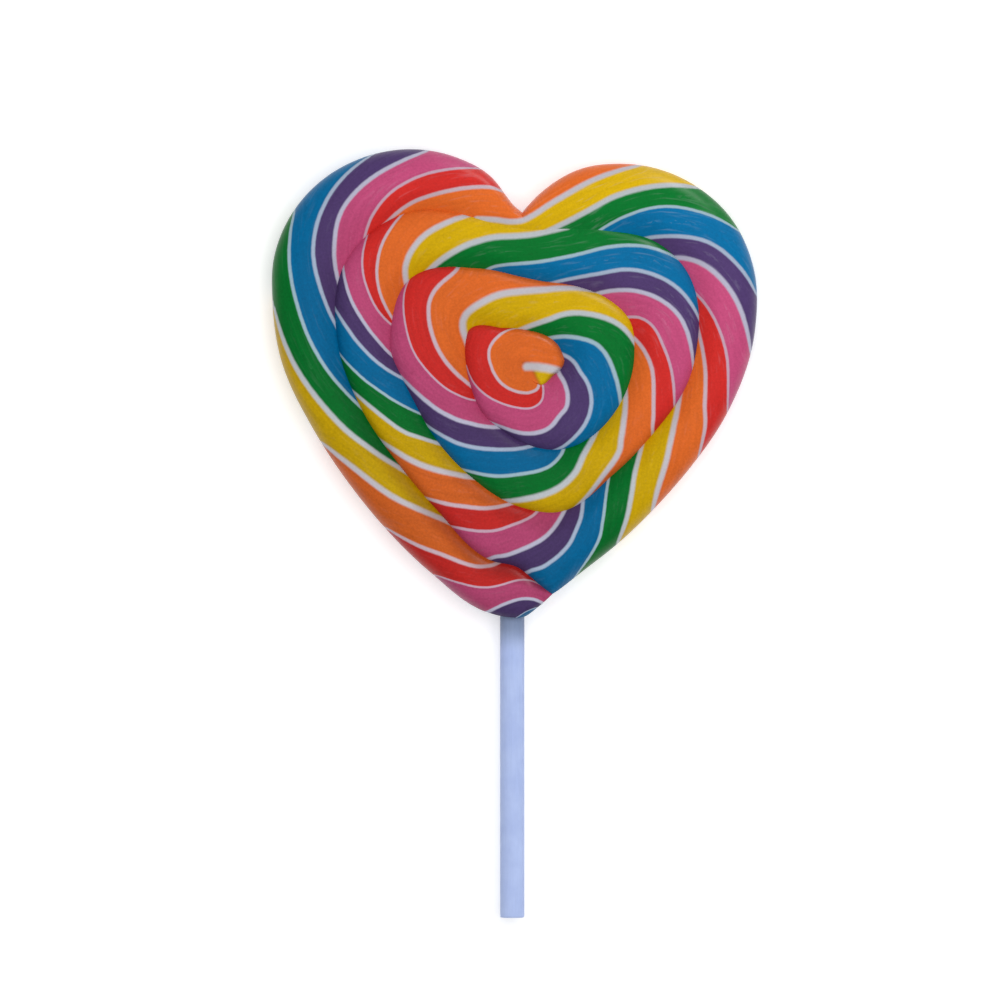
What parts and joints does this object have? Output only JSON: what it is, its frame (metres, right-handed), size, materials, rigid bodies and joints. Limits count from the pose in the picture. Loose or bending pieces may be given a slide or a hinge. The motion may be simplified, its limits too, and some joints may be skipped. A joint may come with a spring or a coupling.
{
  "type": "heart lollipop",
  "caption": "Heart-shaped swirl lollipop: a twisted rope of rainbow-striped boiled sugar wound into a flat heart, with a round stick in its point, lying face up.",
  "frame": {"origin": "on the plane the lollipop lies on, under the middle of the whole object's box", "axes": "+Z out of the shown face, +Y along the stick towards the notch between the lobes, +X to the right as seen from the shown face"},
  "size_m": [0.08, 0.1268, 0.01],
  "materials": {
    "candy": "striped boiled sugar, softly glossy",
    "stick": "smooth, matt"
  },
  "bodies": {
    "root": {"candy": "candy", "stick": "stick"}
  },
  "joints": []
}
